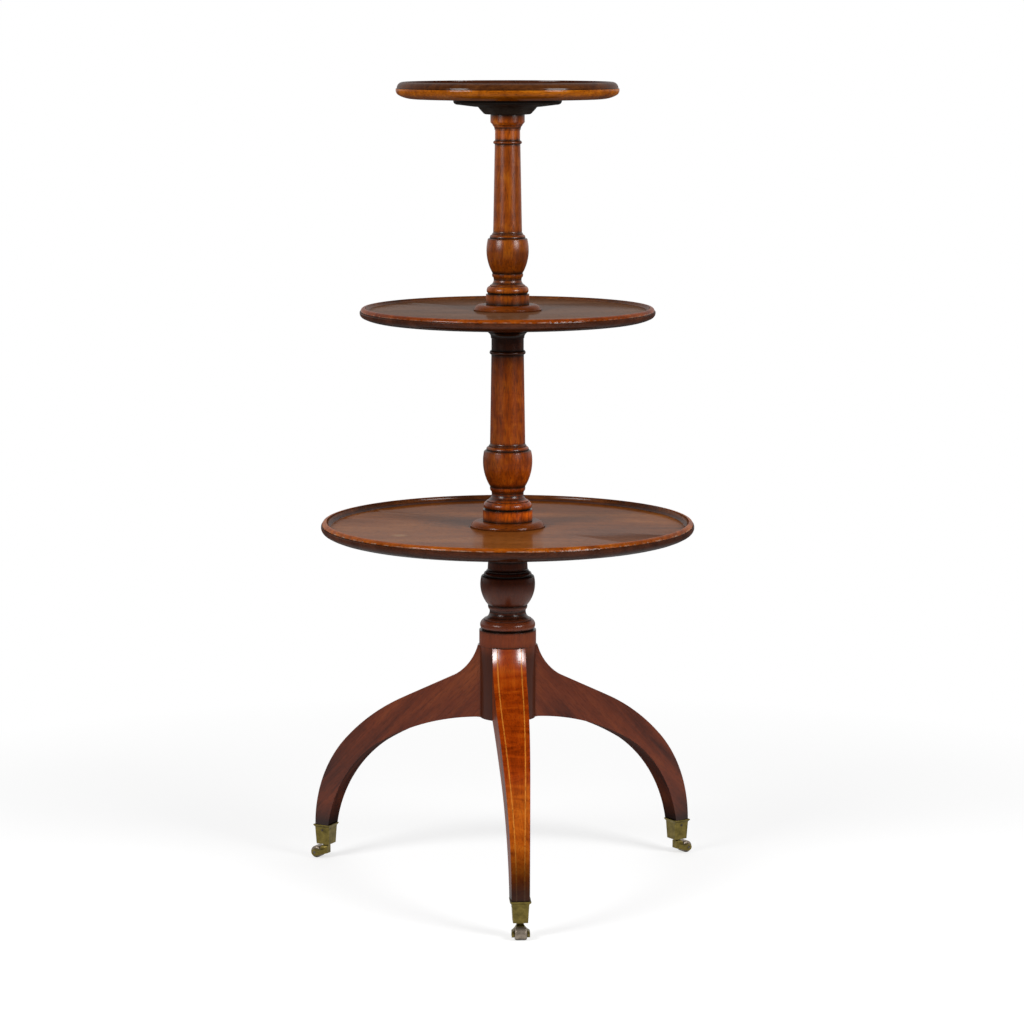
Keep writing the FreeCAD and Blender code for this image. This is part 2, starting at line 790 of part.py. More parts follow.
def make_leg(name, turn, stringing):
    """A downswept leg with its dovetail and its foot tenon, cut for the stringing."""
    body = new_body(f"{name}_leg_wood", turn)
    sketch = new_sketch(body, "XZ_Plane")
    inside = LEG_FLAT * 0.8
    outline = Outline(sketch, S["leg_shoulder_reach"], LEG_TOP)
    draw_leg_top(outline, as_size(0))
    outline.line(S["leg_foot_reach"] - S["leg_foot_depth"], FOOT_HEIGHT)
    outline.bend(-LEG_CALF_RISE, *on_leg(LEG_CALF))
    outline.bend(-LEG_UNDER_RISE, S["leg_seat_reach"], S["base_height"])
    outline.line(inside, S["base_height"]).line(inside, LEG_TOP).close()
    revolve(body, sketch, LEG_SWEEP)
    trim_to_plan(body, [(lambda half: half, lambda half: -half)])

    # Dovetail key for the slot in the column
    sketch = new_sketch(body, "XY_Plane", lift=S["base_height"])
    outline = Outline(sketch, LEG_FLAT, S["dovetail_neck"])
    outline.line(DOVETAIL_END, S["dovetail_tail"]).line(DOVETAIL_END, -S["dovetail_tail"])
    outline.line(LEG_FLAT, -S["dovetail_neck"]).close()
    pad(body, sketch, S["block_height"])

    # Tapered tenon inside the cap, with a cross hole for the pins
    slack, taper = S["cap_wall"] + S["glue_gap"], S["cap_taper"]
    end_height = CAP_FLOOR_TOP + S["tenon_end_clear"]
    loft(body, "AdditiveLoft", [
        foot_rectangle(body, FOOT_HEIGHT, CAP_TOP_RADIAL - slack, CAP_TOP_TANGENTIAL - slack),
        foot_rectangle(body, end_height, CAP_TOP_RADIAL - slack - taper, CAP_TOP_TANGENTIAL - slack - taper),
    ])
    sketch = new_sketch(body, "XZ_Plane")
    circle(sketch, FOOT_CENTRE, CAP_PIN_HEIGHT, S["cap_pin_radius"] + S["glue_gap"])
    pocket(body, sketch)

    # Screw hole for the plate underneath
    sketch = new_sketch(body, "XY_Plane", lift=S["base_height"])
    circle(sketch, S["plate_screw_reach"], 0, S["screw_radius"] + S["glue_gap"])
    pocket(body, sketch, S["screw_length"], upward=True)

    leg = doc.addObject("Part::Cut", f"{name}_leg")
    leg.Label = f"{name}_leg"
    leg.Base = body
    leg.Tool = stringing
    doc.recompute()
    return leg


def make_cap(name, turn):
    """The square tapered brass cap: lip, hollow for the tenon, pin holes and swivel hole."""
    body = new_body(f"{name}_cap", turn)
    taper, wall = S["cap_taper"], S["cap_wall"]
    lip_radial = S["leg_foot_depth"] / 2 + S["cap_lip_reach"]
    lip_tangential = S["leg_foot_half_width"] + S["cap_lip_reach"]
    lip_under = FOOT_HEIGHT - S["cap_lip_height"]
    loft(body, "AdditiveLoft", [
        foot_rectangle(body, CAP_BOTTOM, CAP_TOP_RADIAL - taper, CAP_TOP_TANGENTIAL - taper),
        foot_rectangle(body, CAP_NECK_HEIGHT, CAP_TOP_RADIAL, CAP_TOP_TANGENTIAL),
        foot_rectangle(body, lip_under, lip_radial, lip_tangential),
        foot_rectangle(body, FOOT_HEIGHT, lip_radial, lip_tangential),
    ])
    loft(body, "SubtractiveLoft", [
        foot_rectangle(body, FOOT_HEIGHT, CAP_TOP_RADIAL - wall, CAP_TOP_TANGENTIAL - wall),
        foot_rectangle(body, CAP_FLOOR_TOP, CAP_TOP_RADIAL - wall - taper, CAP_TOP_TANGENTIAL - wall - taper),
    ])
    sketch = new_sketch(body, "XZ_Plane")
    circle(sketch, FOOT_CENTRE, CAP_PIN_HEIGHT, S["cap_pin_radius"] + S["glue_gap"])
    pocket(body, sketch)
    sketch = new_sketch(body, "XY_Plane")
    circle(sketch, FOOT_CENTRE, 0, S["swivel_radius"] + S["running_gap"])
    pocket(body, sketch, CAP_FLOOR_TOP, upward=True)


def make_cap_pins(name, turn):
    """Two short pins through the side walls of a cap into the tenon."""
    body = new_body(f"{name}_cap_pins", turn)
    sketch = new_sketch(body, "XZ_Plane")
    circle(sketch, FOOT_CENTRE, CAP_PIN_HEIGHT, S["cap_pin_radius"])
    outside = CAP_TOP_TANGENTIAL + S["cap_pin_proud"]
    pad(body, sketch, outside * 2, symmetric=True)
    sketch = new_sketch(body, "XZ_Plane")
    circle(sketch, FOOT_CENTRE, CAP_PIN_HEIGHT, S["cap_pin_radius"] * 2)
    pocket(body, sketch, (outside - S["cap_pin_depth"]) * 2, symmetric=True)


# Where a castor's roller stands, and the heights of its fork
AXLE_REACH = FOOT_CENTRE + S["castor_trail"]
CROWN_HEIGHT = CAP_BOTTOM - S["horn_neck_height"]
SWIVEL_FOOT = CAP_BOTTOM - S["swivel_depth"]


def make_horn(name, turn):
    """The castor's fork, swept outwards from the swivel to the two cheeks that hold the axle."""
    body = new_body(f"{name}_horn", turn)
    cheek, neck = S["horn_cheek_radius"], S["horn_neck_radius"]
    half, crown = S["horn_half_width"], CROWN_HEIGHT
    sketch = new_sketch(body, "XZ_Plane")
    outline = Outline(sketch, FOOT_CENTRE - neck, crown).line(FOOT_CENTRE + neck, crown)
    outline.bend(-FLARE_RISE, AXLE_REACH, AXLE_HEIGHT + cheek)
    outline.bend(CORNER_RISE, AXLE_REACH + cheek, AXLE_HEIGHT)
    outline.bend(CORNER_RISE, AXLE_REACH, AXLE_HEIGHT - cheek)
    outline.line(FOOT_CENTRE - neck, AXLE_HEIGHT - S["horn_heel_drop"]).close()
    pad(body, sketch, half * 2, symmetric=True)

    # Shoulders that slope from the cheeks in to the neck, and arms that spread from it
    sketch = new_sketch(body, "YZ_Plane")
    shoulder = AXLE_HEIGHT + S["horn_shoulder_rise"]
    outside, above = half * 1.2, crown * 1.2
    outline = Outline(sketch, neck, crown).bend(-FLARE_RISE, half, shoulder)
    outline.line(outside, shoulder).line(outside, above).line(neck, above).close()
    outline = Outline(sketch, -neck, crown).bend(FLARE_RISE, -half, shoulder)
    outline.line(-outside, shoulder).line(-outside, above).line(-neck, above).close()
    pocket(body, sketch)
    sketch = new_sketch(body, "XY_Plane")
    heel, spread = FOOT_CENTRE - neck, FOOT_CENTRE + S["horn_spread_reach"]
    for side in (1, -1):
        outline = Outline(sketch, heel - neck, neck * side).line(heel, neck * side)
        outline.line(spread, half * side).line(spread, outside * side)
        outline.line(heel - neck, outside * side).close()
    pocket(body, sketch)

    # Slot for the roller and holes for the axle
    sketch = new_sketch(body, "XZ_Plane")
    circle(sketch, AXLE_REACH, AXLE_HEIGHT, S["roller_radius"] + S["horn_roller_gap"])
    pocket(body, sketch, (S["roller_half_width"] + S["horn_slot_gap"]) * 2, symmetric=True)
    sketch = new_sketch(body, "XZ_Plane")
    circle(sketch, AXLE_REACH, AXLE_HEIGHT, S["axle_radius"] + S["running_gap"] / 2)
    pocket(body, sketch)

    # Round neck that bears against the cap, bored for the swivel pin
    sketch = new_sketch(body, "XZ_Plane", across=FOOT_CENTRE)
    rectangle(sketch, 0, neck, crown, CAP_BOTTOM)
    revolve(body, sketch)
    sketch = new_sketch(body, "XY_Plane", lift=SWIVEL_FOOT)
    circle(sketch, FOOT_CENTRE, 0, S["swivel_radius"] + S["running_gap"] / 2)
    pocket(body, sketch, S["swivel_depth"], upward=True)


def make_swivel_pin(name, turn):
    """The riveted pin that hangs the fork from the floor of the cap."""
    body = new_body(f"{name}_swivel_pin", turn)
    sketch = new_sketch(body, "XZ_Plane", across=FOOT_CENTRE)
    radius, head = S["swivel_radius"], S["swivel_head_radius"]
    top = CAP_FLOOR_TOP + S["swivel_head_height"]
    outline = Outline(sketch, 0, SWIVEL_FOOT).line(radius, SWIVEL_FOOT).line(radius, CAP_FLOOR_TOP)
    outline.line(head, CAP_FLOOR_TOP).bend(-CORNER_RISE, head * 0.4, top).line(0, top).close()
    revolve(body, sketch)


def make_axle(name, turn):
    body = new_body(f"{name}_axle", turn)
    sketch = new_sketch(body, "XZ_Plane")
    circle(sketch, AXLE_REACH, AXLE_HEIGHT, S["axle_radius"])
    pad(body, sketch, (S["horn_half_width"] + S["cap_pin_proud"]) * 2, symmetric=True)


def make_roller(name, turn):
    body = new_body(f"{name}_roller", turn)
    sketch = new_sketch(body, "XY_Plane", across=AXLE_REACH, lift=AXLE_HEIGHT)
    bore = S["axle_radius"] + S["running_gap"]
    radius, half, edge = S["roller_radius"], S["roller_half_width"], S["roller_round"]
    outline = Outline(sketch, bore, -half).line(radius - edge, -half)
    outline.bend(-CORNER_RISE, radius, edge - half).line(radius, half - edge)
    outline.bend(-CORNER_RISE, radius - edge, half).line(bore, half).close()
    revolve(body, sketch)


def make_brace_plate():
    """The three-armed iron plate under the column that ties the legs to it."""
    body = new_body("brace_plate", LEG_ANGLES["front"], S["base_height"] - S["plate_thickness"])
    sketch = new_sketch(body, "XY_Plane")
    circle(sketch, 0, 0, S["plate_hub_radius"])
    pad(body, sketch, S["plate_thickness"])
    sketch = new_sketch(body, "XY_Plane")
    half, reach = S["plate_arm_half_width"], S["plate_reach"]
    outline = Outline(sketch, 0, -half).line(reach - half, -half)
    outline.bend(-BEAD_RISE, reach - half, half).line(0, half).close()
    pad(body, sketch, S["plate_thickness"])
    arm = body.Tip
    sketch = new_sketch(body, "XY_Plane")
    circle(sketch, S["plate_screw_reach"], 0, S["screw_radius"] + S["glue_gap"])
    hole = pocket(body, sketch, S["plate_thickness"], upward=True)
    pattern(body, [arm, hole], LEG_COUNT)


def make_all():
    make_lower_column()
    make_middle_column()
    make_upper_column()
    for tier, section, under in (
        ("bottom", "lower", BOTTOM_TRAY_UNDER),
        ("middle", "middle", MIDDLE_TRAY_UNDER),
    ):
        bore = S[f"{section}_journal_radius"] + S["running_gap"]
        seat = S[f"{tier}_collar_radius"] + S["glue_gap"]
        make_tray(f"{tier}_tray", under, bore, seat)
        make_collar(f"{tier}_collar", under, S[f"{tier}_tray_board"], bore)
    make_top_tray()
    make_bearer()
    make_screws(
        "bearer_screws",
        S["bearer_screw_reach"],
        TOP_TRAY_UNDER - S["bearer_screw_seat"],
        S["bearer_screw_seat"] + S["bearer_screw_bite"],
        BEARER_SCREW_COUNT,
    )
    make_brace_plate()
    make_screws(
        "brace_screws",
        S["plate_screw_reach"],
        S["base_height"] - S["plate_thickness"],
        S["screw_length"],
        LEG_COUNT,
        LEG_ANGLES["front"],
    )
    for name, turn in LEG_ANGLES.items():
        stringing = make_stringing(name, turn)
        make_leg(name, turn, stringing)
        make_cap(name, turn)
        make_cap_pins(name, turn)
        make_horn(name, turn)
        make_swivel_pin(name, turn)
        make_axle(name, turn)
        make_roller(name, turn)


def check_document():
    doc.recompute()
    for item in doc.Objects:
        if "Invalid" in item.State or "Error" in item.State:
            raise RuntimeError(f"{item.Name} did not compute")


def write_pieces():
    """Writes each finished piece to its own file, named by its label."""
    os.makedirs("parts", exist_ok=True)
    legs = [item for item in doc.Objects if item.TypeId == "Part::Cut"]
    wood = [leg.Base for leg in legs]
    bodies = [item for item in doc.Objects if item.TypeId == "PartDesign::Body" and item not in wood]
    for piece in bodies + legs:
        if piece.Shape.isNull() or not piece.Shape.isValid():
            raise RuntimeError(f"{piece.Label} has no valid shape")
        piece.Shape.exportStep(f"parts/{piece.Label}.step")


make_all()
check_document()
write_pieces()
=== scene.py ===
import math
import bpy
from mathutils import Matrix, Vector

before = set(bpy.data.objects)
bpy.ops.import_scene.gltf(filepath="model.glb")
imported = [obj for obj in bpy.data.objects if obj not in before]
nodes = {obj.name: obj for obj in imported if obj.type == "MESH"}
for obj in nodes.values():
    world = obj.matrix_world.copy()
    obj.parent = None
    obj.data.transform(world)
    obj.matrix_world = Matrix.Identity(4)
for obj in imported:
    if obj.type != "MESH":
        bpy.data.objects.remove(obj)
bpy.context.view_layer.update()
scene = bpy.context.scene


def colour(red, green, blue):
    return (red, green, blue, 1.0)


WHITE = colour(1, 1, 1)

# Camera, fitted to the photograph
IMAGE_WIDTH = 1024
SENSOR_MM = 36.0
FOCAL_PX = 3321.0
CAMERA_AZIMUTH = -3.2
CAMERA_PITCH = 8.334
CAMERA_DISTANCE = 4.827
CAMERA_HEIGHT = 1.2634
CAMERA_REACH = 60.0
STEM_LEFT_OF_CENTRE_PX = 4.4

# Soft boxes: degrees round the stem from the front and watts, then the size and place of both
SOFT_BOXES = {"left_softbox": (-52, 57), "right_softbox": (48, 60)}
SOFT_BOX_SIDE = 1.0
SOFT_BOX_DISTANCE = 2.6
SOFT_BOX_HEIGHT = 1.77
SOFT_BOX_AIM = Vector((0, 0, 0.75))

# White paper floor: its half width, and where it begins to turn plain white, which it is at twice that
FLOOR_HALF = 14.0
PAPER_WHITE_FROM = 0.7

# The glow that lifts the paper, and its tone where it is seen and in the light that it throws back
PAPER_LIFT = 0.655
PAPER_SEEN = 0.42
PAPER_BOUNCE = 0.22

# Light of the room in front, behind and from the ceiling, and of the back wall in reflections
ROOM_FRONT = 0.06
ROOM_BACK = 0.5
ROOM_TOP = 0.45
ROOM_BACK_MIRRORED = 1.0

# Where front turns into back and wall into ceiling, along Y and Z of a direction
FRONT_TO_BACK = (-0.2, 0.6)
WALL_TO_CEILING = (0.5, 0.95)

# Tones of the wood, from its dark lines to its light figure
STEM_TONES = ((0.092, 0.014, 0.001), (0.240, 0.047, 0.001), (0.390, 0.105, 0.003))
MIDDLE_TONES = ((0.095, 0.013, 0.001), (0.222, 0.038, 0.001), (0.370, 0.085, 0.004))
# The lower column's tones are a dark patina with painted shade under the bottom tray
LOWER_TONES = ((0.055, 0.011, 0.004), (0.140, 0.028, 0.009), (0.220, 0.055, 0.014))
COLLAR_TONES = ((0.080, 0.014, 0.001), (0.180, 0.038, 0.003), (0.300, 0.080, 0.008))
FLOOR_TONES = ((0.090, 0.022, 0.004), (0.210, 0.060, 0.010), (0.330, 0.112, 0.024))
DULL_FLOOR_TONES = ((0.085, 0.034, 0.014), (0.165, 0.072, 0.034), (0.250, 0.118, 0.058))
# Lit and shaded copies of the tray edges, painted light and painted shade: lit where an edge faces the lamps,
# shaded where it turns down or inward; the top tray has a shaded upper edge over a lit lower one
LIT_RIM_TONES = ((0.140, 0.026, 0.001), (0.300, 0.062, 0.002), (0.440, 0.120, 0.006))
SHADED_TOP_RIM_TONES = ((0.030, 0.008, 0.003), (0.080, 0.024, 0.006), (0.160, 0.055, 0.013))
LIT_TOP_EDGE_TONES = ((0.170, 0.036, 0.001), (0.380, 0.098, 0.003), (0.540, 0.180, 0.010))
SHADED_RIM_TONES = ((0.030, 0.009, 0.004), (0.070, 0.021, 0.010), (0.120, 0.036, 0.016))
SHADED_INNER_RIM_TONES = ((0.055, 0.014, 0.003), (0.130, 0.036, 0.008), (0.220, 0.066, 0.014))
SIDE_TONES = ((0.050, 0.009, 0.004), (0.165, 0.031, 0.010), (0.260, 0.058, 0.016))
UPPER_VENEER_TONES = ((0.120, 0.012, 0.000), (0.300, 0.036, 0.001), (0.440, 0.080, 0.004))
LOWER_VENEER_TONES = ((0.190, 0.028, 0.001), (0.420, 0.082, 0.003), (0.560, 0.140, 0.008))
EBONY_TONES = ((0.018, 0.013, 0.010), (0.040, 0.029, 0.022), (0.070, 0.050, 0.038))
BOX_TONES = ((0.380, 0.105, 0.010), (0.560, 0.180, 0.022), (0.680, 0.270, 0.052))

# Colours of the pores, the dark wax with painted shade in the hollows, and the painted highlight on the tray
# lips
PORE_COLOUR = colour(0.018, 0.005, 0.002)
WAX_AND_SHADE_COLOUR = colour(0.010, 0.005, 0.003)
LIP_GLINT_COLOUR = colour(0.42, 0.30, 0.22)

# Where the three tones lie in the mixed noise
TONE_STOPS = (0.26, 0.5, 0.74)

# Weights of the streaks, clouds and cross figure, and the streaks in a metre lengthwise and across
TURNED_FIGURE = (0.8, 0.9, 0.3, (32.0, 140.0))
CALM_FIGURE = (0.3, 0.5, 0.1, (7.5, 126.0))
RIM_FIGURE = (0.7, 0.6, 0.3, (5.0, 84.0))
BOARD_FIGURE = (0.35, 0.7, 0.0, (2.5, 42.0))
PLAIN_FIGURE = (0.4, 0.3, 0.0, (2.5, 42.0))
SIDE_FIGURE = (0.75, 0.95, 0.1, (3.75, 63.0))
VENEER_FIGURE = (0.5, 0.5, 0.75, (6.25, 105.0))

# The other marks in a metre lengthwise and across, and how each kind of noise is drawn
CLOUDS_PER_M = (2.6, 8.0)
CROSS_BANDS_PER_M = (34.0, 9.0)
PORES_PER_M = (85.0, 600.0)
RIPPLES_PER_M = (9.0, 30.0)
STREAK_NOISE = {"detail": 5.0, "rough": 0.65, "distort": 0.4}
CLOUD_NOISE = {"detail": 2.0, "distort": 0.8}
CROSS_NOISE = {"detail": 3.0, "distort": 2.2}
PORE_NOISE = {"detail": 3.0, "rough": 0.6}
RIPPLE_NOISE = {"detail": 2.0}

# Pores, darkening in hollows that is dark wax with painted shade, and sheen: where each sets in and ends, and
# the wood's roughness and bumps
PORE_RANGE = (0.33, 0.5)
HOLLOW_RANGE = (0.58, 0.96)
HOLLOW_REACH = 0.012
HOLLOW_SAMPLES = 16
SHEEN_RANGE = (0.3, 0.7)
SHEEN_NOISE = {"scale": 38.0, "detail": 5.0}
WOOD_ROUGHNESS = (0.38, 0.52)
PORE_BUMP = {"strength": 0.02, "distance": 0.0003}
RIPPLE_BUMP = {"strength": 0.06, "distance": 0.001}

# A hollow corner in a turned outline: the height that it is measured over, and its least depth
QUIRK_REACH = 0.0035
QUIRK_DEPTH = 0.0006

# Darkening round such a corner, dark wax with painted shade: the reach and the full share that its ramp is
# given, its noise and strength
WAX_AND_SHADE_REACH = 0.0032
WAX_AND_SHADE_FULL_SHARE = 0.25
WAX_AND_SHADE_NOISE = {"scale": 130.0}
WAX_AND_SHADE_STRENGTH = 0.92

# Lighter and darker heights of the columns and legs, as heights and shares of the full tone: on the columns
# painted shadow under each tray and between the legs, painted light on the drums and the upper capital, and a
# darker band on the upper urn; the legs darker near the foot
LOWER_PAINTED_LIGHT_AND_SHADE = ((0.345, 0.45), (0.366, 1.5), (0.386, 1.5), (0.392, 1.1))
MIDDLE_PAINTED_LIGHT_AND_SHADE = ((0.556, 2.3), (0.562, 1.2), (0.620, 1.15), (0.640, 1.0), (0.770, 1.0), (0.795, 0.30))
UPPER_PAINTED_LIGHT_AND_SHADE = ((0.893, 1.0), (0.905, 0.78), (0.940, 0.78), (0.955, 1.0), (1.09, 1.0), (1.12, 2.1))
SIDE_SHADE = ((0.060, 0.12), (0.092, 1.0))
VENEER_SHADE = ((0.068, 0.10), (0.098, 0.35), (0.135, 1.0))

# A height above every piece, which the ramps of those shades run up to
TALLEST = 1.25

# Painted shade at the middle column's left and painted light at its right, as shares of its tone, and how far
# from the stem they are reached
MIDDLE_SIDE_LIGHT_AND_SHADE = (0.62, 1.52)
STEM_REACH = 0.03

# Way of the grain in upright and in flat pieces
UPRIGHT_GRAIN = (0, 90, 0)
FLAT_GRAIN = (0, 0, 0)

# Looks of the turned pieces; a turn and an offset choose the part of the grain that shows
COLUMN_FINISH = {"coat": 0.6, "gloss": 0.28}
COLUMN_LOOKS = {
    "lower": {
        "tones": LOWER_TONES, "figure": CALM_FIGURE, "turn": 0, "offset": (0.0, 0.01, 0.0),
        "painted_light_and_shade": LOWER_PAINTED_LIGHT_AND_SHADE, "flecks": 0.25,
    },
    "middle": {
        "tones": MIDDLE_TONES, "figure": TURNED_FIGURE, "turn": 40, "offset": (0.02, 0.01, 0.3),
        "painted_light_and_shade": MIDDLE_PAINTED_LIGHT_AND_SHADE, "sides": MIDDLE_SIDE_LIGHT_AND_SHADE,
    },
    "upper": {
        "tones": STEM_TONES, "figure": TURNED_FIGURE, "turn": 80, "offset": (0.04, 0.01, 0.6),
        "painted_light_and_shade": UPPER_PAINTED_LIGHT_AND_SHADE,
    },
}
COLLAR_LOOKS = {
    "tones": COLLAR_TONES, "figure": BOARD_FIGURE, "turn": 20, "offset": (0.1, 0.0, 0.0),
    "coat": 0.3, "gloss": 0.2, "wax_and_shade": 0.5,
}
BEARER_LOOKS = {
    "tones": EBONY_TONES, "figure": PLAIN_FIGURE, "turn": 30, "offset": (0.0, 0.0, 0.0),
    "coat": 0.2, "gloss": 0.3,
}

# Polish of the trays, and how far up a face has to point to count as floor
RIM_COAT = 0.26
TRAY_GLOSS = 0.15
FLOOR_FACING = 0.5

# A painted highlight along the lip above the quirk in a tray's edge
LIP_RISE = 0.0012
LIP_HALF_HEIGHT = 0.0009
LIP_NOISE = {"scale": 110.0, "detail": 5.0}
LIP_RANGE = (0.44, 0.62)

# Marks on the bottom tray, with ragged borders: a pale water mark and two dark patches
MARK_NOISE = {"scale": 60.0, "detail": 4.0}
MARK_RAGGED = 1.2
MARK_RANGE = (0.35, 1.0)
TRAY_MARKS = (
    {
        "centre": (-0.160, -0.080, 0.535), "size": (0.016, 0.013, 0.02),
        "tint": colour(0.40, 0.22, 0.09), "strength": 0.5,
    },
    {
        "centre": (-0.060, 0.030, 0.535), "size": (0.075, 0.055, 0.02),
        "tint": colour(0.05, 0.018, 0.012), "strength": 0.55,
    },
    {
        "centre": (0.130, 0.060, 0.535), "size": (0.060, 0.040, 0.02),
        "tint": colour(0.08, 0.026, 0.012), "strength": 0.35,
    },
)

# Trays, with the radius at which the rim begins and the height of the quirk in its edge; the wall, upper and
# lower tones are painted light and painted shade
TRAY_LOOKS = {
    "bottom": {
        "inner_radius": 0.2600, "quirk_height": 0.5386, "turn": 8, "offset": (0.0, 0.05, 0.02),
        "floor_tones": FLOOR_TONES, "wall_tones": SHADED_INNER_RIM_TONES,
        "upper_tones": LIT_RIM_TONES, "lower_tones": SHADED_RIM_TONES,
        "floor_coat": 0.2, "lip_glint": 0.6, "marks": TRAY_MARKS,
    },
    "middle": {
        "inner_radius": 0.2015, "quirk_height": 0.8521, "turn": -6, "offset": (0.3, 0.05, 0.02),
        "floor_tones": DULL_FLOOR_TONES, "wall_tones": SHADED_INNER_RIM_TONES,
        "upper_tones": MIDDLE_TONES, "lower_tones": SHADED_RIM_TONES,
        "floor_coat": 0.15, "lip_glint": 0.35,
    },
    "top": {
        "inner_radius": 0.1437, "quirk_height": 1.1738, "turn": -20, "offset": (0.6, 0.05, 0.02),
        "floor_tones": DULL_FLOOR_TONES, "wall_tones": SHADED_RIM_TONES,
        "upper_tones": SHADED_TOP_RIM_TONES, "lower_tones": LIT_TOP_EDGE_TONES,
        "floor_coat": 0.05, "lip_glint": 0.0,
    },
}

# Legs: directions about the stem, the slope of the grain, and the step that gives each its own grain
LEG_ANGLES = {"front": -90.0, "right": 30.0, "left": 150.0}
LEG_GRAIN_SLOPE = 45.0
LEG_GRAIN_STEP = 0.04

# How far a leg's outer and inner faces turn from its sides, and the polish from sides to inner face
OUTER_FACE = (0.35, 0.6)
INNER_FACE = (0.1, 0.5)
SIDE_COAT = (0.3, 0.05)

# The veneer's polish by height, and the heights between which its light tones turn into dark ones
VENEER_COAT = ((0.100, 0.18), (0.310, 0.30), (0.340, 1.0))
VENEER_LIGHT_BELOW = 0.185
VENEER_DARK_ABOVE = 0.215

# Finish of the legs and of their inlay
LEG_FINISH = {"gloss": 0.25, "flecks": 0.35, "coat_ior": 1.8}
STRINGING_FINISH = {"coat": 0.5, "gloss": 0.2, "wax_and_shade": 0.2}

# Old brass: its blotches and fine grain, the dirt in its hollows and the rub on its edges
BLOTCH_NOISE = {"scale": 120.0, "detail": 6.0, "rough": 0.65}
BRASS_GRAIN_NOISE = {"scale": 700.0, "detail": 3.0}
BLOTCH_SHARE = 0.75
TARNISH_RANGE = (0.36, 0.66)
BRASS_HOLLOW_REACH = 0.006
BRASS_HOLLOW_SAMPLES = 8
BRASS_HOLLOW_RANGE = (0.3, 0.8)
BRASS_DIRT = colour(0.02, 0.016, 0.008)
BRASS_DIRT_STRENGTH = 0.85
RUBBED_EDGE_RANGE = (0.54, 0.62)
RUBBED_EDGE_STRENGTH = 0.7
BLOTCH_BUMP = {"strength": 0.15, "distance": 0.0008}
BRASS_GRAIN_BUMP = {"strength": 0.12, "distance": 0.0004}

# Iron and steel: the spots on them and their grain
SPOT_NOISE = {"scale": 260.0, "detail": 5.0}
SPOT_RANGE = (0.4, 0.62)
SPOT_BUMP = {"strength": 0.2, "distance": 0.0005}
DULL_METALLIC = 0.85

# How much rougher brass and iron are in their roughest places, and where that begins and ends
BRASS_ROUGHER = 0.2
IRON_ROUGHER = 0.18
ROUGHER_RANGE = (0.3, 0.7)

# Fine rounds on the edges, the bend from which an edge counts as sharp, and points that are joined
EDGE_ROUNDS = {
    "column": 0.0004, "tray": 0.0005, "collar": 0.0005, "bearer": 0.0006, "leg": 0.0008,
    "stringing": 0.00005, "metal": 0.0003, "pin": 0.0002,
}
SHARP_BEND = 32.0
JOINED_WITHIN = 1e-6


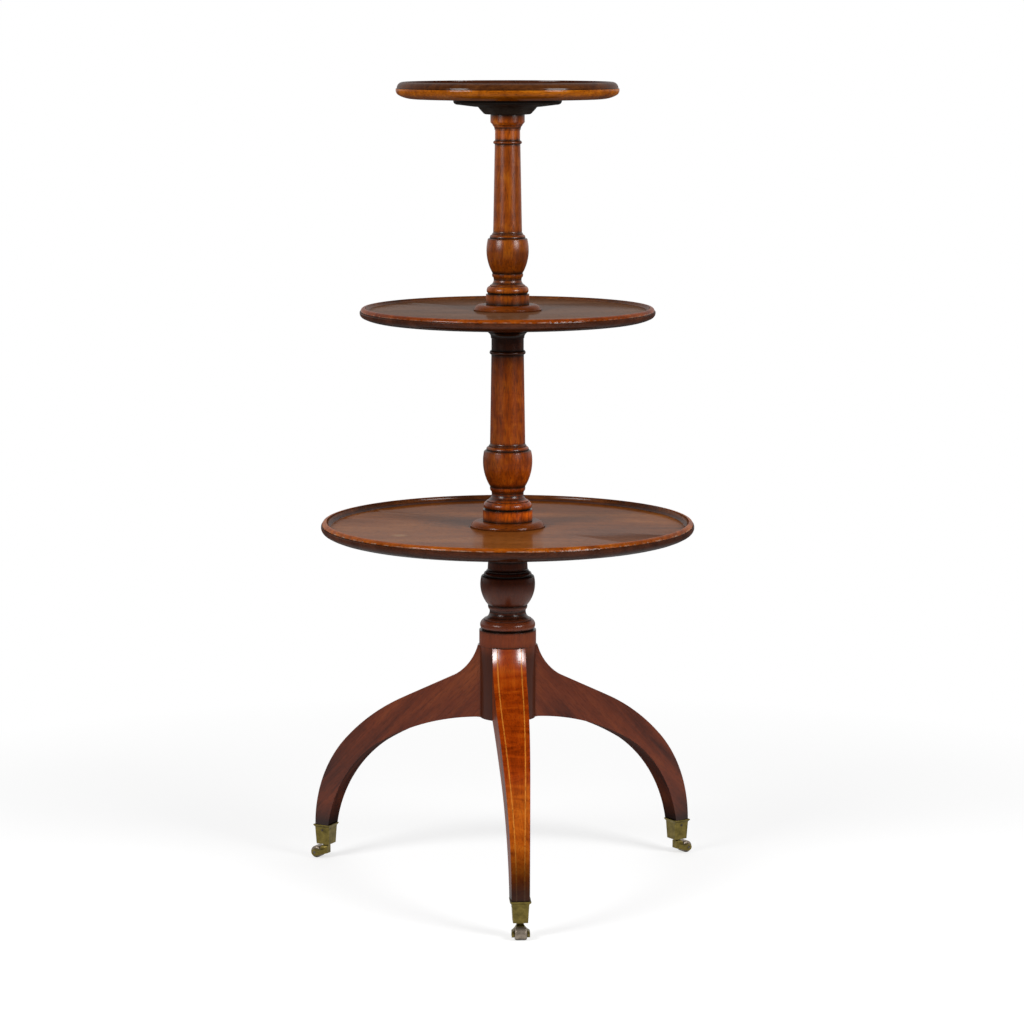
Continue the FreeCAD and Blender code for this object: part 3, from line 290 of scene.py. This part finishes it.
class Graph:
    """The node tree of a material or a world, built with short calls."""

    def __init__(self, owner):
        owner.use_nodes = True
        self.owner = owner
        self.tree = owner.node_tree
        self.tree.nodes.clear()
        coordinates = self.add("ShaderNodeTexCoord")
        self.object_coords = coordinates.outputs["Object"]
        self.object_normal = coordinates.outputs["Normal"]
        self.directions = coordinates.outputs["Generated"]

    def add(self, kind, settings=None, **inputs):
        node = self.tree.nodes.new(kind)
        for name, value in (settings or {}).items():
            setattr(node, name, value)
        for name, value in inputs.items():
            self.put(node.inputs[name.replace("_", " ")], value)
        return node

    def put(self, socket, value):
        if isinstance(value, bpy.types.NodeSocket):
            self.tree.links.new(value, socket)
        else:
            socket.default_value = value

    def place(self, coords, turn=(0, 0, 0), scale=(1, 1, 1), offset=(0, 0, 0)):
        angles = [math.radians(angle) for angle in turn]
        node = self.add("ShaderNodeMapping", Vector=coords, Rotation=angles, Scale=scale, Location=offset)
        return node.outputs["Vector"]

    def component(self, vector, axis):
        return self.add("ShaderNodeSeparateXYZ", Vector=vector).outputs[axis]

    def vector(self, operation, first, second=(0, 0, 0)):
        node = self.add("ShaderNodeVectorMath", {"operation": operation})
        self.put(node.inputs[0], first)
        self.put(node.inputs[1], second)
        return node.outputs["Value" if operation in ("LENGTH", "DOT_PRODUCT") else "Vector"]

    def math(self, operation, first, second=0.0):
        node = self.add("ShaderNodeMath", {"operation": operation})
        self.put(node.inputs[0], first)
        self.put(node.inputs[1], second)
        return node.outputs[0]

    def noise(self, coords, scale=1.0, detail=4.0, rough=0.55, distort=0.0):
        drawn = {"Scale": scale, "Detail": detail, "Roughness": rough, "Distortion": distort}
        return self.add("ShaderNodeTexNoise", Vector=coords, **drawn).outputs["Fac"]

    def grain_noise(self, grain, per_m, **drawn):
        """Noise that is stretched along the grain."""
        lengthwise, across = per_m
        return self.noise(self.place(grain, scale=(lengthwise, across, across)), **drawn)

    def swing(self, noise, weight):
        """Noise that swings evenly to both sides of 0."""
        return self.math("MULTIPLY", self.math("SUBTRACT", noise, 0.5), weight)

    def ramp(self, factor, *stops):
        node = self.add("ShaderNodeValToRGB", Fac=factor)
        elements = node.color_ramp.elements
        while len(elements) < len(stops):
            elements.new(1.0)
        for element, (position, tone) in zip(elements, stops):
            element.position = position
            element.color = colour(*tone)
        return node.outputs["Color"]

    def grey_ramp(self, factor, *stops):
        return self.ramp(factor, *((position, (value, value, value)) for position, value in stops))

    def between(self, factor, limits, first, last):
        """Grey that goes from a first to a last value between two limits of the factor."""
        return self.grey_ramp(factor, *zip(limits, (first, last)))

    def fade(self, value, limits, first, last):
        """The same for a value that may be negative, which a ramp cannot take."""
        start, end = limits
        spans = {"From_Min": start, "From_Max": end, "To_Min": first, "To_Max": last}
        return self.add("ShaderNodeMapRange", Value=value, **spans).outputs["Result"]

    def mix(self, factor, first, second, blend="MIX", kind="RGBA"):
        settings = {"data_type": kind, "blend_type": blend}
        return self.add("ShaderNodeMix", settings, Factor=factor, A=first, B=second).outputs["Result"]

    def hollow(self, distance, samples):
        """How open the surroundings of a point are."""
        return self.add("ShaderNodeAmbientOcclusion", {"samples": samples}, Distance=distance).outputs["AO"]

    def bump(self, height, strength, distance, normal=None):
        node = self.add("ShaderNodeBump", Height=height, Strength=strength, Distance=distance)
        if normal is not None:
            self.put(node.inputs["Normal"], normal)
        return node.outputs["Normal"]

    def end(self, surface, output="ShaderNodeOutputMaterial"):
        self.add(output, Surface=surface)
        return self.owner

    def finish(self, **inputs):
        return self.end(self.add("ShaderNodeBsdfPrincipled", **inputs).outputs["BSDF"])


def material_graph(name):
    return Graph(bpy.data.materials.new(name))


def wood_colour(g, grain, tones, streak, cloud, cross, streaks_per_m):
    """The wood's colour: streaks along the grain, broad clouds, and a figure across it."""
    parts = (
        (streak, g.grain_noise(grain, streaks_per_m, **STREAK_NOISE)),
        (cloud, g.grain_noise(grain, CLOUDS_PER_M, **CLOUD_NOISE)),
        (cross, g.grain_noise(grain, CROSS_BANDS_PER_M, **CROSS_NOISE)),
    )
    mixed = 0.5
    for weight, noise in parts:
        mixed = g.math("ADD", g.swing(noise, weight), mixed)
    return g.ramp(mixed, *zip(TONE_STOPS, tones))


def shaded(g, wood, stops):
    """Wood that is lighter or darker at some heights, given as heights and shares of its tone."""
    height = g.math("DIVIDE", g.component(g.object_coords, "Z"), TALLEST)
    tone = g.grey_ramp(height, *((level / TALLEST, share) for level, share in stops))
    return g.mix(1.0, wood, tone, blend="MULTIPLY")


def polish(g, wood, grain, coat, gloss, flecks=0.55, wax_and_shade=0.97, coat_ior=1.5):
    """Dark pores, dark wax with painted shade in the corners, and a French polish over the wood."""
    pores = g.grain_noise(grain, PORES_PER_M, **PORE_NOISE)
    wood = g.mix(g.between(pores, PORE_RANGE, flecks, 0.0), wood, PORE_COLOUR)
    hollow = g.hollow(HOLLOW_REACH, HOLLOW_SAMPLES)
    # Painted shade in the hollows, with dark wax
    wood = g.mix(g.between(hollow, HOLLOW_RANGE, wax_and_shade, 0.0), wood, WAX_AND_SHADE_COLOUR)
    sheen = g.noise(g.object_coords, **SHEEN_NOISE)
    ripples = g.grain_noise(grain, RIPPLES_PER_M, **RIPPLE_NOISE)
    normal = g.bump(pores, **PORE_BUMP, normal=g.bump(ripples, **RIPPLE_BUMP))
    return g.finish(
        Base_Color=wood, Roughness=g.between(sheen, SHEEN_RANGE, *WOOD_ROUGHNESS), Normal=normal,
        Specular_IOR_Level=0.0, Coat_Weight=coat, Coat_Roughness=gloss, Coat_IOR=coat_ior, Coat_Normal=normal,
    )


def polished_wood(name, tones, figure, turn, offset, lay, painted_light_and_shade=(), sides=(), lines=(), **finish):
    """A piece of polished wood. The grain runs along X once the coordinates are turned and laid."""
    g = material_graph(name)
    grain = g.place(g.place(g.object_coords, turn=(0, 0, turn), offset=offset), turn=lay)
    wood = wood_colour(g, grain, tones, *figure)
    # Painted shadow and painted light at the given heights of a column
    if painted_light_and_shade:
        wood = shaded(g, wood, painted_light_and_shade)
    # Painted shade on the stem's left and painted light on its right
    if sides:
        across = g.fade(g.component(g.object_coords, "X"), (-STEM_REACH, STEM_REACH), *sides)
        wood = g.mix(1.0, wood, across, blend="MULTIPLY")
    # Dark wax with painted shade round the hollow corners
    if lines:
        wood = g.mix(wax_and_shade_lines(g, lines), wood, WAX_AND_SHADE_COLOUR)
    return polish(g, wood, grain, **finish)


def wax_and_shade_lines(g, heights):
    """Dark wax with painted shade, gathered round the given heights of a turned piece."""
    height = g.component(g.object_coords, "Z")
    nearest = 1.0
    for line in heights:
        nearest = g.math("MINIMUM", g.math("ABSOLUTE", g.math("SUBTRACT", height, line)), nearest)
    ragged = g.swing(g.noise(g.object_coords, **WAX_AND_SHADE_NOISE), WAX_AND_SHADE_REACH)
    limits = (WAX_AND_SHADE_REACH * WAX_AND_SHADE_FULL_SHARE, WAX_AND_SHADE_REACH)
    return g.between(g.math("ADD", nearest, ragged), limits, WAX_AND_SHADE_STRENGTH, 0.0)


def quirks(name):
    """Heights at which the outline of a turned piece has a hollow corner, deepest first."""
    outline = {}
    for vertex in nodes[name].data.vertices:
        height = round(vertex.co.z, 4)
        outline[height] = max(outline.get(height, 0.0), math.hypot(vertex.co.x, vertex.co.y))
    heights = sorted(outline)

    def radius(wanted):
        upper = min((z for z in heights if z >= wanted), default=heights[-1])
        lower = max((z for z in heights if z <= wanted), default=heights[0])
        share = (wanted - lower) / (upper - lower) if upper > lower else 0.0
        return outline[lower] + share * (outline[upper] - outline[lower])

    depths = {z: (radius(z - QUIRK_REACH) + radius(z + QUIRK_REACH)) / 2 - radius(z) for z in heights}
    found = []
    for z in sorted(depths, key=depths.get, reverse=True):
        if depths[z] > QUIRK_DEPTH and all(abs(z - other) > QUIRK_REACH for other in found):
            found.append(z)
    return found


def soft_mark(g, base, centre, size, tint, strength):
    """A soft-edged mark on the polish around one point."""
    from_centre = g.vector("SUBTRACT", g.object_coords, centre)
    stretched = g.place(from_centre, scale=[1.0 / value for value in size])
    ragged = g.swing(g.noise(g.object_coords, **MARK_NOISE), MARK_RAGGED)
    reach = g.math("ADD", g.vector("LENGTH", stretched), ragged)
    return g.mix(g.between(reach, MARK_RANGE, strength, 0.0), base, tint)


def tray_wood(
    name, turn, offset, inner_radius, quirk_height,
    floor_tones, wall_tones, upper_tones, lower_tones, floor_coat, lip_glint, marks=(),
):
    """A tray: a plain floor, and the inner wall of its rim and its edge above and below the quirk in tones of
    painted light and painted shade.
    """
    g = material_graph(name)
    grain = g.place(g.object_coords, turn=(0, 0, turn), offset=offset)
    floor = wood_colour(g, grain, floor_tones, *BOARD_FIGURE)
    for mark in marks:
        floor = soft_mark(g, floor, **mark)
    wall = wood_colour(g, grain, wall_tones, *RIM_FIGURE)
    upper = wood_colour(g, grain, upper_tones, *RIM_FIGURE)
    lower = wood_colour(g, grain, lower_tones, *RIM_FIGURE)

    # Which of these a point belongs to
    height = g.component(g.object_coords, "Z")
    from_stem = g.vector("MULTIPLY", g.object_coords, (1, 1, 0))
    inside = g.math("LESS_THAN", g.vector("LENGTH", from_stem), inner_radius)
    faces_up = g.math("GREATER_THAN", g.component(g.object_normal, "Z"), FLOOR_FACING)
    is_floor = g.math("MULTIPLY", inside, faces_up)
    is_outside = g.math("GREATER_THAN", g.vector("DOT_PRODUCT", g.object_normal, from_stem), 0.0)
    is_lower = g.math("LESS_THAN", height, quirk_height)
    # Lit and shaded copies of the edge: painted light and painted shade
    edge = g.mix(is_lower, g.mix(is_outside, wall, upper), lower)

    # A painted highlight along the lip
    from_lip = g.math("ABSOLUTE", g.math("SUBTRACT", height, quirk_height + LIP_RISE))
    glint_patches = g.between(g.noise(g.object_coords, **LIP_NOISE), LIP_RANGE, 0.0, lip_glint)
    lip = g.math("MULTIPLY", g.math("LESS_THAN", from_lip, LIP_HALF_HEIGHT), glint_patches)
    edge = g.mix(g.math("MULTIPLY", lip, is_outside), edge, LIP_GLINT_COLOUR)

    coat = g.between(is_floor, (0.0, 1.0), RIM_COAT, floor_coat)
    return polish(g, g.mix(is_floor, edge, floor), grain, coat, TRAY_GLOSS)


def leg_grain(g, angle, offset=(0, 0, 0)):
    """Coordinates with X down along a leg."""
    along_leg = g.place(g.object_coords, turn=(0, 0, -angle), offset=offset)
    return g.place(along_leg, turn=(0, -LEG_GRAIN_SLOPE, 0))


def leg_wood(name, angle, offset):
    """A leg: plain dark sides, a flame veneer on its upper face, and both darker near the foot."""
    g = material_graph(name)
    grain = leg_grain(g, angle, offset)
    height = g.component(g.object_coords, "Z")
    sides = shaded(g, wood_colour(g, grain, SIDE_TONES, *SIDE_FIGURE), SIDE_SHADE)
    upper = wood_colour(g, grain, UPPER_VENEER_TONES, *VENEER_FIGURE)
    lower = wood_colour(g, grain, LOWER_VENEER_TONES, *VENEER_FIGURE)
    is_lower = g.between(height, (VENEER_LIGHT_BELOW, VENEER_DARK_ABOVE), 1.0, 0.0)
    veneer = shaded(g, g.mix(is_lower, upper, lower), VENEER_SHADE)

    # Outer face against sides and inner face
    turned = math.radians(angle)
    outward = g.vector("DOT_PRODUCT", g.object_normal, (math.cos(turned), math.sin(turned), 1.0))
    is_outer = g.between(outward, OUTER_FACE, 0.0, 1.0)
    side_coat = g.between(g.math("MULTIPLY", outward, -1.0), INNER_FACE, *SIDE_COAT)
    coat = g.mix(is_outer, side_coat, g.grey_ramp(height, *VENEER_COAT))
    return polish(g, g.mix(is_outer, sides, veneer), grain, coat, **LEG_FINISH)


def stringing_wood(name, angle):
    """The boxwood lines let into a leg, as dark towards the foot as the veneer round them."""
    g = material_graph(name)
    grain = leg_grain(g, angle)
    wood = shaded(g, wood_colour(g, grain, BOX_TONES, *PLAIN_FIGURE), VENEER_SHADE)
    return polish(g, wood, grain, **STRINGING_FINISH)


def old_brass(name, bright, tarnish, rough):
    """Brass with a brown-green skin, rubbed bright along its edges."""
    g = material_graph(name)
    blotches = g.noise(g.object_coords, **BLOTCH_NOISE)
    fine = g.noise(g.object_coords, **BRASS_GRAIN_NOISE)
    shares = (g.math("MULTIPLY", blotches, BLOTCH_SHARE), g.math("MULTIPLY", fine, 1.0 - BLOTCH_SHARE))
    skin = g.math("ADD", *shares)
    metal = g.mix(g.between(skin, TARNISH_RANGE, 0.0, 1.0), bright, tarnish)
    hollow = g.hollow(BRASS_HOLLOW_REACH, BRASS_HOLLOW_SAMPLES)
    metal = g.mix(g.between(hollow, BRASS_HOLLOW_RANGE, BRASS_DIRT_STRENGTH, 0.0), metal, BRASS_DIRT)
    edge = g.add("ShaderNodeNewGeometry").outputs["Pointiness"]
    metal = g.mix(g.between(edge, RUBBED_EDGE_RANGE, 0.0, RUBBED_EDGE_STRENGTH), metal, bright)
    roughness = g.between(skin, ROUGHER_RANGE, rough, rough + BRASS_ROUGHER)
    normal = g.bump(fine, **BRASS_GRAIN_BUMP, normal=g.bump(blotches, **BLOTCH_BUMP))
    return g.finish(Base_Color=metal, Roughness=roughness, Metallic=1.0, Normal=normal)


def dull_metal(name, base, spots, rough):
    """Old iron or steel with darker spots."""
    g = material_graph(name)
    grain = g.noise(g.object_coords, **SPOT_NOISE)
    metal = g.mix(g.between(grain, SPOT_RANGE, 0.0, 1.0), base, spots)
    roughness = g.between(grain, ROUGHER_RANGE, rough, rough + IRON_ROUGHER)
    normal = g.bump(grain, **SPOT_BUMP)
    return g.finish(Base_Color=metal, Roughness=roughness, Metallic=DULL_METALLIC, Normal=normal)


def dress(name, material, edge, segments=2):
    """Give a piece its material, smooth shading and a fine round on its sharp edges."""
    obj = nodes[name]
    mesh = obj.data
    mesh.materials.clear()
    mesh.materials.append(material)
    for attribute in ("custom_normal", "sharp_face", "sharp_edge"):
        layer = mesh.attributes.get(attribute)
        if layer is not None:
            mesh.attributes.remove(layer)
    mesh.shade_smooth()
    weld = obj.modifiers.new("join", "WELD")
    weld.merge_threshold = JOINED_WITHIN
    bevel = obj.modifiers.new("round", "BEVEL")
    bevel.width = EDGE_ROUNDS[edge]
    bevel.segments = segments
    bevel.limit_method = "ANGLE"
    bevel.angle_limit = math.radians(SHARP_BEND)
    bevel.harden_normals = True
    bevel.miter_outer = "MITER_ARC"


# Stem, trays, collars and bearer
for tier, looks in COLUMN_LOOKS.items():
    column = f"{tier}_column"
    lines = quirks(column)
    material = polished_wood(f"{column}_mahogany", lay=UPRIGHT_GRAIN, lines=lines, **COLUMN_FINISH, **looks)
    dress(column, material, "column")
for tier, looks in TRAY_LOOKS.items():
    dress(f"{tier}_tray", tray_wood(f"{tier}_tray_mahogany", **looks), "tray")
for tier in ("bottom", "middle"):
    material = polished_wood(f"{tier}_collar_mahogany", lay=FLAT_GRAIN, **COLLAR_LOOKS)
    dress(f"{tier}_collar", material, "collar")
dress("bearer_block", polished_wood("bearer_dark", lay=FLAT_GRAIN, **BEARER_LOOKS), "bearer")

# Legs with their inlay
for index, (side, angle) in enumerate(LEG_ANGLES.items()):
    offset = (0, LEG_GRAIN_STEP * index, 0)
    dress(f"{side}_leg", leg_wood(f"{side}_leg_mahogany", angle, offset), "leg")
    inlay = stringing_wood(f"{side}_inlay_boxwood", angle)
    dress(f"{side}_leg_stringing", inlay, "stringing", segments=1)

# Castors and iron work
brass = old_brass(
    "castor_brass", bright=colour(0.200, 0.152, 0.041), tarnish=colour(0.097, 0.076, 0.022), rough=0.36
)
roller_brass = old_brass(
    "roller_brass", bright=colour(0.34, 0.28, 0.22), tarnish=colour(0.17, 0.14, 0.11), rough=0.40
)
steel = dull_metal(
    "old_steel", base=colour(0.16, 0.14, 0.12), spots=colour(0.05, 0.035, 0.025), rough=0.42
)
iron = dull_metal(
    "forged_iron", base=colour(0.06, 0.055, 0.05), spots=colour(0.035, 0.022, 0.016), rough=0.55
)
for side in LEG_ANGLES:
    dress(f"{side}_cap", brass, "metal")
    dress(f"{side}_horn", brass, "metal")
    dress(f"{side}_roller", roller_brass, "metal")
    dress(f"{side}_swivel_pin", steel, "metal")
    dress(f"{side}_cap_pins", steel, "pin")
    dress(f"{side}_axle", steel, "pin")
dress("brace_plate", iron, "metal")
dress("brace_screws", steel, "metal")
dress("bearer_screws", steel, "metal")


def straight_rays(g):
    """1 for the rays that see the background straight from the camera or through glass."""
    path = g.add("ShaderNodeLightPath")
    return g.math("MAXIMUM", path.outputs["Is Camera Ray"], path.outputs["Is Transmission Ray"])


def mirrored_rays(g):
    """1 for the rays that a shiny surface mirrors."""
    return g.add("ShaderNodeLightPath").outputs["Is Glossy Ray"]


def white_paper():
    """Paper that keeps the shadows near the object and turns plain white further out."""
    g = material_graph("white_paper")
    straight = straight_rays(g)
    glossy = mirrored_rays(g)
    span = g.math("DIVIDE", g.vector("LENGTH", g.object_coords), PAPER_WHITE_FROM)
    outer = g.between(g.math("SUBTRACT", span, 1.0), (0.0, 1.0), 0.0, 1.0)
    tone = g.between(g.math("MAXIMUM", straight, glossy), (0.0, 1.0), PAPER_BOUNCE, PAPER_SEEN)
    paper = g.add("ShaderNodeBsdfDiffuse", Color=tone)
    near_mirrored = g.math("MULTIPLY", glossy, g.math("SUBTRACT", 1.0, outer))
    lift = g.math("MULTIPLY", g.math("MAXIMUM", straight, near_mirrored), PAPER_LIFT)
    glow = g.add("ShaderNodeEmission", Color=WHITE, Strength=lift)
    near = g.add("ShaderNodeAddShader")
    g.put(near.inputs[0], paper.outputs["BSDF"])
    g.put(near.inputs[1], glow.outputs["Emission"])
    far = g.add("ShaderNodeEmission", Color=WHITE, Strength=1.0)
    blend = g.add("ShaderNodeMixShader")
    g.put(blend.inputs[0], g.math("MULTIPLY", outer, straight))
    g.put(blend.inputs[1], near.outputs["Shader"])
    g.put(blend.inputs[2], far.outputs["Emission"])
    return g.end(blend.outputs["Shader"])


def make_floor():
    mesh = bpy.data.meshes.new("floor")
    corners = ((-1, -1), (1, -1), (1, 1), (-1, 1))
    mesh.from_pydata([(x * FLOOR_HALF, y * FLOOR_HALF, 0) for x, y in corners], [], [(0, 1, 2, 3)])
    floor = bpy.data.objects.new("floor", mesh)
    scene.collection.objects.link(floor)
    mesh.materials.append(white_paper())


def make_camera():
    data = bpy.data.cameras.new("camera")
    data.sensor_width = SENSOR_MM
    data.lens = FOCAL_PX / IMAGE_WIDTH * SENSOR_MM
    data.clip_end = CAMERA_REACH
    camera = bpy.data.objects.new("camera", data)
    azimuth = math.radians(CAMERA_AZIMUTH)
    camera.location = (
        CAMERA_DISTANCE * math.sin(azimuth), -CAMERA_DISTANCE * math.cos(azimuth), CAMERA_HEIGHT
    )
    aside = math.atan(STEM_LEFT_OF_CENTRE_PX / FOCAL_PX)
    camera.rotation_euler = (math.radians(90 - CAMERA_PITCH), 0, azimuth - aside)
    scene.collection.objects.link(camera)
    scene.camera = camera


def make_soft_box(name, azimuth, power):
    """A soft box on a stand, at an angle round the stem counted from the front."""
    data = bpy.data.lights.new(name, "AREA")
    data.shape = "SQUARE"
    data.size = SOFT_BOX_SIDE
    data.energy = power
    light = bpy.data.objects.new(name, data)
    angle = math.radians(azimuth)
    light.location = (
        SOFT_BOX_DISTANCE * math.sin(angle), -SOFT_BOX_DISTANCE * math.cos(angle), SOFT_BOX_HEIGHT
    )
    towards = SOFT_BOX_AIM - light.location
    light.rotation_euler = towards.to_track_quat("-Z", "Y").to_euler()
    light.visible_camera = False
    scene.collection.objects.link(light)


def make_world():
    """White for the camera; to the object a room that is dim in front and bright behind."""
    world = bpy.data.worlds.new("studio")
    g = Graph(world)
    depth = g.component(g.directions, "Y")
    height = g.component(g.directions, "Z")
    walls = g.fade(depth, FRONT_TO_BACK, ROOM_FRONT, ROOM_BACK)
    ceiling = g.fade(height, WALL_TO_CEILING, 0.0, ROOM_TOP)
    mirrored_walls = g.fade(depth, FRONT_TO_BACK, ROOM_FRONT, ROOM_BACK_MIRRORED)
    room = g.mix(mirrored_rays(g), g.math("MAXIMUM", walls, ceiling), mirrored_walls, kind="FLOAT")
    strength = g.mix(straight_rays(g), room, 1.0, kind="FLOAT")
    background = g.add("ShaderNodeBackground", Color=WHITE, Strength=strength)
    scene.world = g.end(background.outputs["Background"], "ShaderNodeOutputWorld")


make_floor()
make_camera()
for name, (azimuth, power) in SOFT_BOXES.items():
    make_soft_box(name, azimuth, power)
make_world()
scene.view_settings.view_transform = "Standard"
